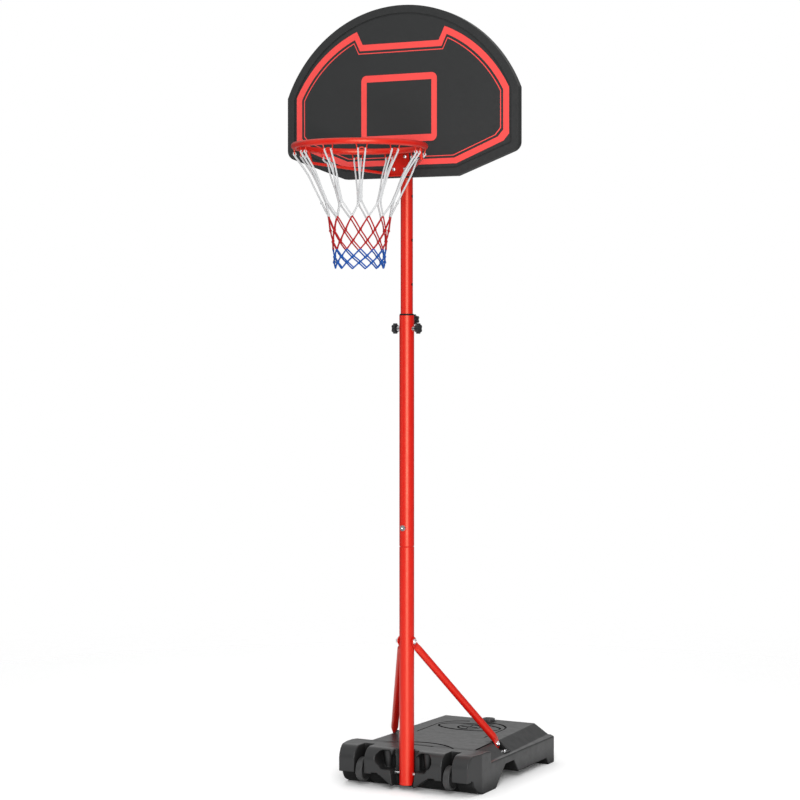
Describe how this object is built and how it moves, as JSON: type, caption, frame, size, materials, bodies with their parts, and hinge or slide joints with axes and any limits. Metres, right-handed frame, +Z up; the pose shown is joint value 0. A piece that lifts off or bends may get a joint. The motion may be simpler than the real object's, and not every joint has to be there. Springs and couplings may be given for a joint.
{
  "type": "portable basketball hoop",
  "caption": "Free-standing junior basketball hoop: arched board, ring and cord net on a telescoping pole, two braces and a sand-filled wheeled base tank.",
  "frame": {"origin": "ground level, below the middle of the bounding box", "axes": "+Z up; the board faces -Y; +X is to the right of a person who faces the board's back"},
  "size_m": [0.71, 1.0142, 2.1609],
  "materials": {
    "tank_plastic": "fine grained",
    "sand": "loose grains",
    "gasket_rubber": "matt",
    "zinc_steel": "bright zinc plated",
    "red_paint": "gloss powder coat",
    "black_plastic": "moulded satin",
    "black_steel": "satin black",
    "board_plastic": "satin",
    "red_print": "printed ink",
    "net_cord": "braided cord, white, red and blue by height"
  },
  "bodies": {
    "stand": {"base_tank": "tank_plastic", "sand_ballast": "sand", "wheel_axle": "zinc_steel", "axle_washers": "zinc_steel", "lower_pole": "red_paint", "middle_pole": "red_paint", "joint_screw": "zinc_steel", "joint_nut": "zinc_steel", "guide_sleeve": "black_plastic", "lock_bosses": "red_paint", "strut_left": "red_paint", "strut_right": "red_paint", "strut_top_bolt": "zinc_steel", "strut_top_nut": "zinc_steel", "strut_foot_bolts": "zinc_steel", "strut_foot_nuts": "zinc_steel", "strut_bracket_left": "black_steel", "strut_bracket_right": "black_steel", "bracket_screws": "zinc_steel"},
    "hoop": {"upper_pole": "red_paint", "pole_glide": "black_plastic", "pole_top_cap": "black_plastic", "backboard": "board_plastic", "court_print": "red_print", "target_print": "red_print", "lower_mount_plate": "black_steel", "upper_mount_plate": "black_steel", "upper_mount_screws": "zinc_steel", "rim_bracket": "red_paint", "bracket_bolts": "zinc_steel", "bracket_nuts": "zinc_steel", "rim_ring": "red_paint", "rim_brace_left": "red_paint", "rim_brace_right": "red_paint", "net_hooks": "red_paint", "net": "net_cord"},
    "left_wheel": {"wheel_left": "black_plastic"},
    "right_wheel": {"wheel_right": "black_plastic"},
    "left_lock_stud": {"lock_stud_left": "zinc_steel"},
    "left_lock_knob": {"lock_knob_left": "black_plastic"},
    "right_lock_stud": {"lock_stud_right": "zinc_steel"},
    "right_lock_knob": {"lock_knob_right": "black_plastic"},
    "rear_clamp_stud": {"clamp_stud": "zinc_steel"},
    "rear_clamp_knob": {"clamp_knob": "black_plastic"},
    "filler_gasket": {"cap_gasket": "gasket_rubber"},
    "filler_screw_cap": {"filler_cap": "black_plastic"}
  },
  "joints": [
    {"name": "height_slide", "type": "slide", "parent": "stand", "child": "hoop", "axis": [0, 0, 1], "range_m": [-0.3645, 0]},
    {"name": "wheel_left_spin", "type": "hinge", "parent": "stand", "child": "left_wheel", "pos_m": [-0.1345, -0.04992, 0.047], "axis": [1, 0, 0], "continuous": true},
    {"name": "wheel_right_spin", "type": "hinge", "parent": "stand", "child": "right_wheel", "pos_m": [0.1345, -0.04992, 0.047], "axis": [1, 0, 0], "continuous": true},
    {"name": "lock_left_travel", "type": "slide", "parent": "stand", "child": "left_lock_stud", "axis": [-1, 0, 0], "range_m": [0, 0.00375]},
    {"name": "lock_left_turn", "type": "hinge", "parent": "left_lock_stud", "child": "left_lock_knob", "pos_m": [-0.035, -0.04992, 1.274], "axis": [-1, 0, 0], "range_deg": [0, 1080]},
    {"name": "lock_right_travel", "type": "slide", "parent": "stand", "child": "right_lock_stud", "axis": [1, 0, 0], "range_m": [0, 0.00375]},
    {"name": "lock_right_turn", "type": "hinge", "parent": "right_lock_stud", "child": "right_lock_knob", "pos_m": [0.035, -0.04992, 1.274], "axis": [1, 0, 0], "range_deg": [0, 1080]},
    {"name": "clamp_travel", "type": "slide", "parent": "stand", "child": "rear_clamp_stud", "axis": [0, 1, 0], "range_m": [0, 0.00375]},
    {"name": "clamp_turn", "type": "hinge", "parent": "rear_clamp_stud", "child": "rear_clamp_knob", "pos_m": [0, -0.00492, 1.299], "axis": [0, 1, 0], "range_deg": [0, 1080]},
    {"name": "filler_cap_travel", "type": "slide", "parent": "stand", "child": "filler_gasket", "axis": [0, 0, 1], "range_m": [0, 0.006]},
    {"name": "filler_cap_turn", "type": "hinge", "parent": "filler_gasket", "child": "filler_screw_cap", "pos_m": [0.016, 0.45408, 0.114], "axis": [0, 0, 1], "range_deg": [0, 720]}
  ],
  "couplings": [
    {"joint": "lock_left_turn", "follows": "lock_left_travel", "rad_per_m": 5026.5},
    {"joint": "lock_right_turn", "follows": "lock_right_travel", "rad_per_m": 5026.5},
    {"joint": "clamp_turn", "follows": "clamp_travel", "rad_per_m": 5026.5},
    {"joint": "filler_cap_turn", "follows": "filler_cap_travel", "rad_per_m": 2094.3}
  ]
}
